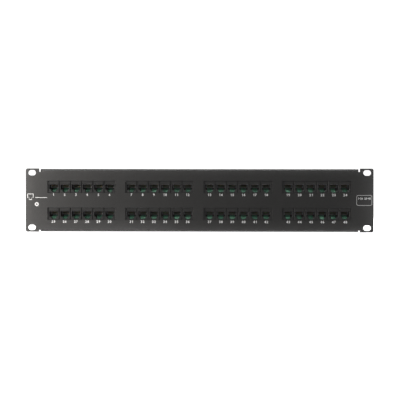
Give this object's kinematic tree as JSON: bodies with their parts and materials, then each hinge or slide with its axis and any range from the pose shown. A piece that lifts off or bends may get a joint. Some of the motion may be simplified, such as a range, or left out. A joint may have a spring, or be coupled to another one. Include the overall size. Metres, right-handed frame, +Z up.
{
  "type": "patch panel",
  "caption": "Rack-mount patch panel: a folded black steel front with rows of modular jacks, circuit boards and punch-down connecting blocks behind.",
  "frame": {"origin": "centre of the four rack slots, on the back face of the ears, where the panel meets the rack rails", "axes": "+X to the right as seen from the front, +Y back into the rack, +Z up"},
  "size_m": [0.4826, 0.0325, 0.0882],
  "materials": {
    "powder_coat": "fine textured black powder coat",
    "jack_plastic": "black moulded plastic, satin",
    "insert_plastic": "grey moulded plastic",
    "contact_gold": "gold plated spring wire",
    "circuit_board": "green solder mask on glass laminate",
    "block_plastic": "off-white moulded plastic",
    "clip_metal": "tin plated bronze",
    "label": "printed colour strip",
    "zinc": "clear zinc plate",
    "print_ink": "white screen-print ink"
  },
  "bodies": {
    "root": {"panel": "powder_coat", "standoffs": "zinc", "board_screws": "zinc", "jack_housing_ports_01_06": "jack_plastic", "contact_inserts_ports_01_06": "insert_plastic", "contact_wires_ports_01_06": "contact_gold", "circuit_board_ports_01_06": "circuit_board", "connecting_blocks_ports_01_06": "block_plastic", "idc_clips_ports_01_06": "clip_metal", "wiring_label_ports_01_06": "label", "jack_housing_ports_07_12": "jack_plastic", "contact_inserts_ports_07_12": "insert_plastic", "contact_wires_ports_07_12": "contact_gold", "circuit_board_ports_07_12": "circuit_board", "connecting_blocks_ports_07_12": "block_plastic", "idc_clips_ports_07_12": "clip_metal", "wiring_label_ports_07_12": "label", "jack_housing_ports_13_18": "jack_plastic", "contact_inserts_ports_13_18": "insert_plastic", "contact_wires_ports_13_18": "contact_gold", "circuit_board_ports_13_18": "circuit_board", "connecting_blocks_ports_13_18": "block_plastic", "idc_clips_ports_13_18": "clip_metal", "wiring_label_ports_13_18": "label", "jack_housing_ports_19_24": "jack_plastic", "contact_inserts_ports_19_24": "insert_plastic", "contact_wires_ports_19_24": "contact_gold", "circuit_board_ports_19_24": "circuit_board", "connecting_blocks_ports_19_24": "block_plastic", "idc_clips_ports_19_24": "clip_metal", "wiring_label_ports_19_24": "label", "jack_housing_ports_25_30": "jack_plastic", "contact_inserts_ports_25_30": "insert_plastic", "contact_wires_ports_25_30": "contact_gold", "circuit_board_ports_25_30": "circuit_board", "connecting_blocks_ports_25_30": "block_plastic", "idc_clips_ports_25_30": "clip_metal", "wiring_label_ports_25_30": "label", "jack_housing_ports_31_36": "jack_plastic", "contact_inserts_ports_31_36": "insert_plastic", "contact_wires_ports_31_36": "contact_gold", "circuit_board_ports_31_36": "circuit_board", "connecting_blocks_ports_31_36": "block_plastic", "idc_clips_ports_31_36": "clip_metal", "wiring_label_ports_31_36": "label", "jack_housing_ports_37_42": "jack_plastic", "contact_inserts_ports_37_42": "insert_plastic", "contact_wires_ports_37_42": "contact_gold", "circuit_board_ports_37_42": "circuit_board", "connecting_blocks_ports_37_42": "block_plastic", "idc_clips_ports_37_42": "clip_metal", "wiring_label_ports_37_42": "label", "jack_housing_ports_43_48": "jack_plastic", "contact_inserts_ports_43_48": "insert_plastic", "contact_wires_ports_43_48": "contact_gold", "circuit_board_ports_43_48": "circuit_board", "connecting_blocks_ports_43_48": "block_plastic", "idc_clips_ports_43_48": "clip_metal", "wiring_label_ports_43_48": "label"}
  },
  "joints": []
}
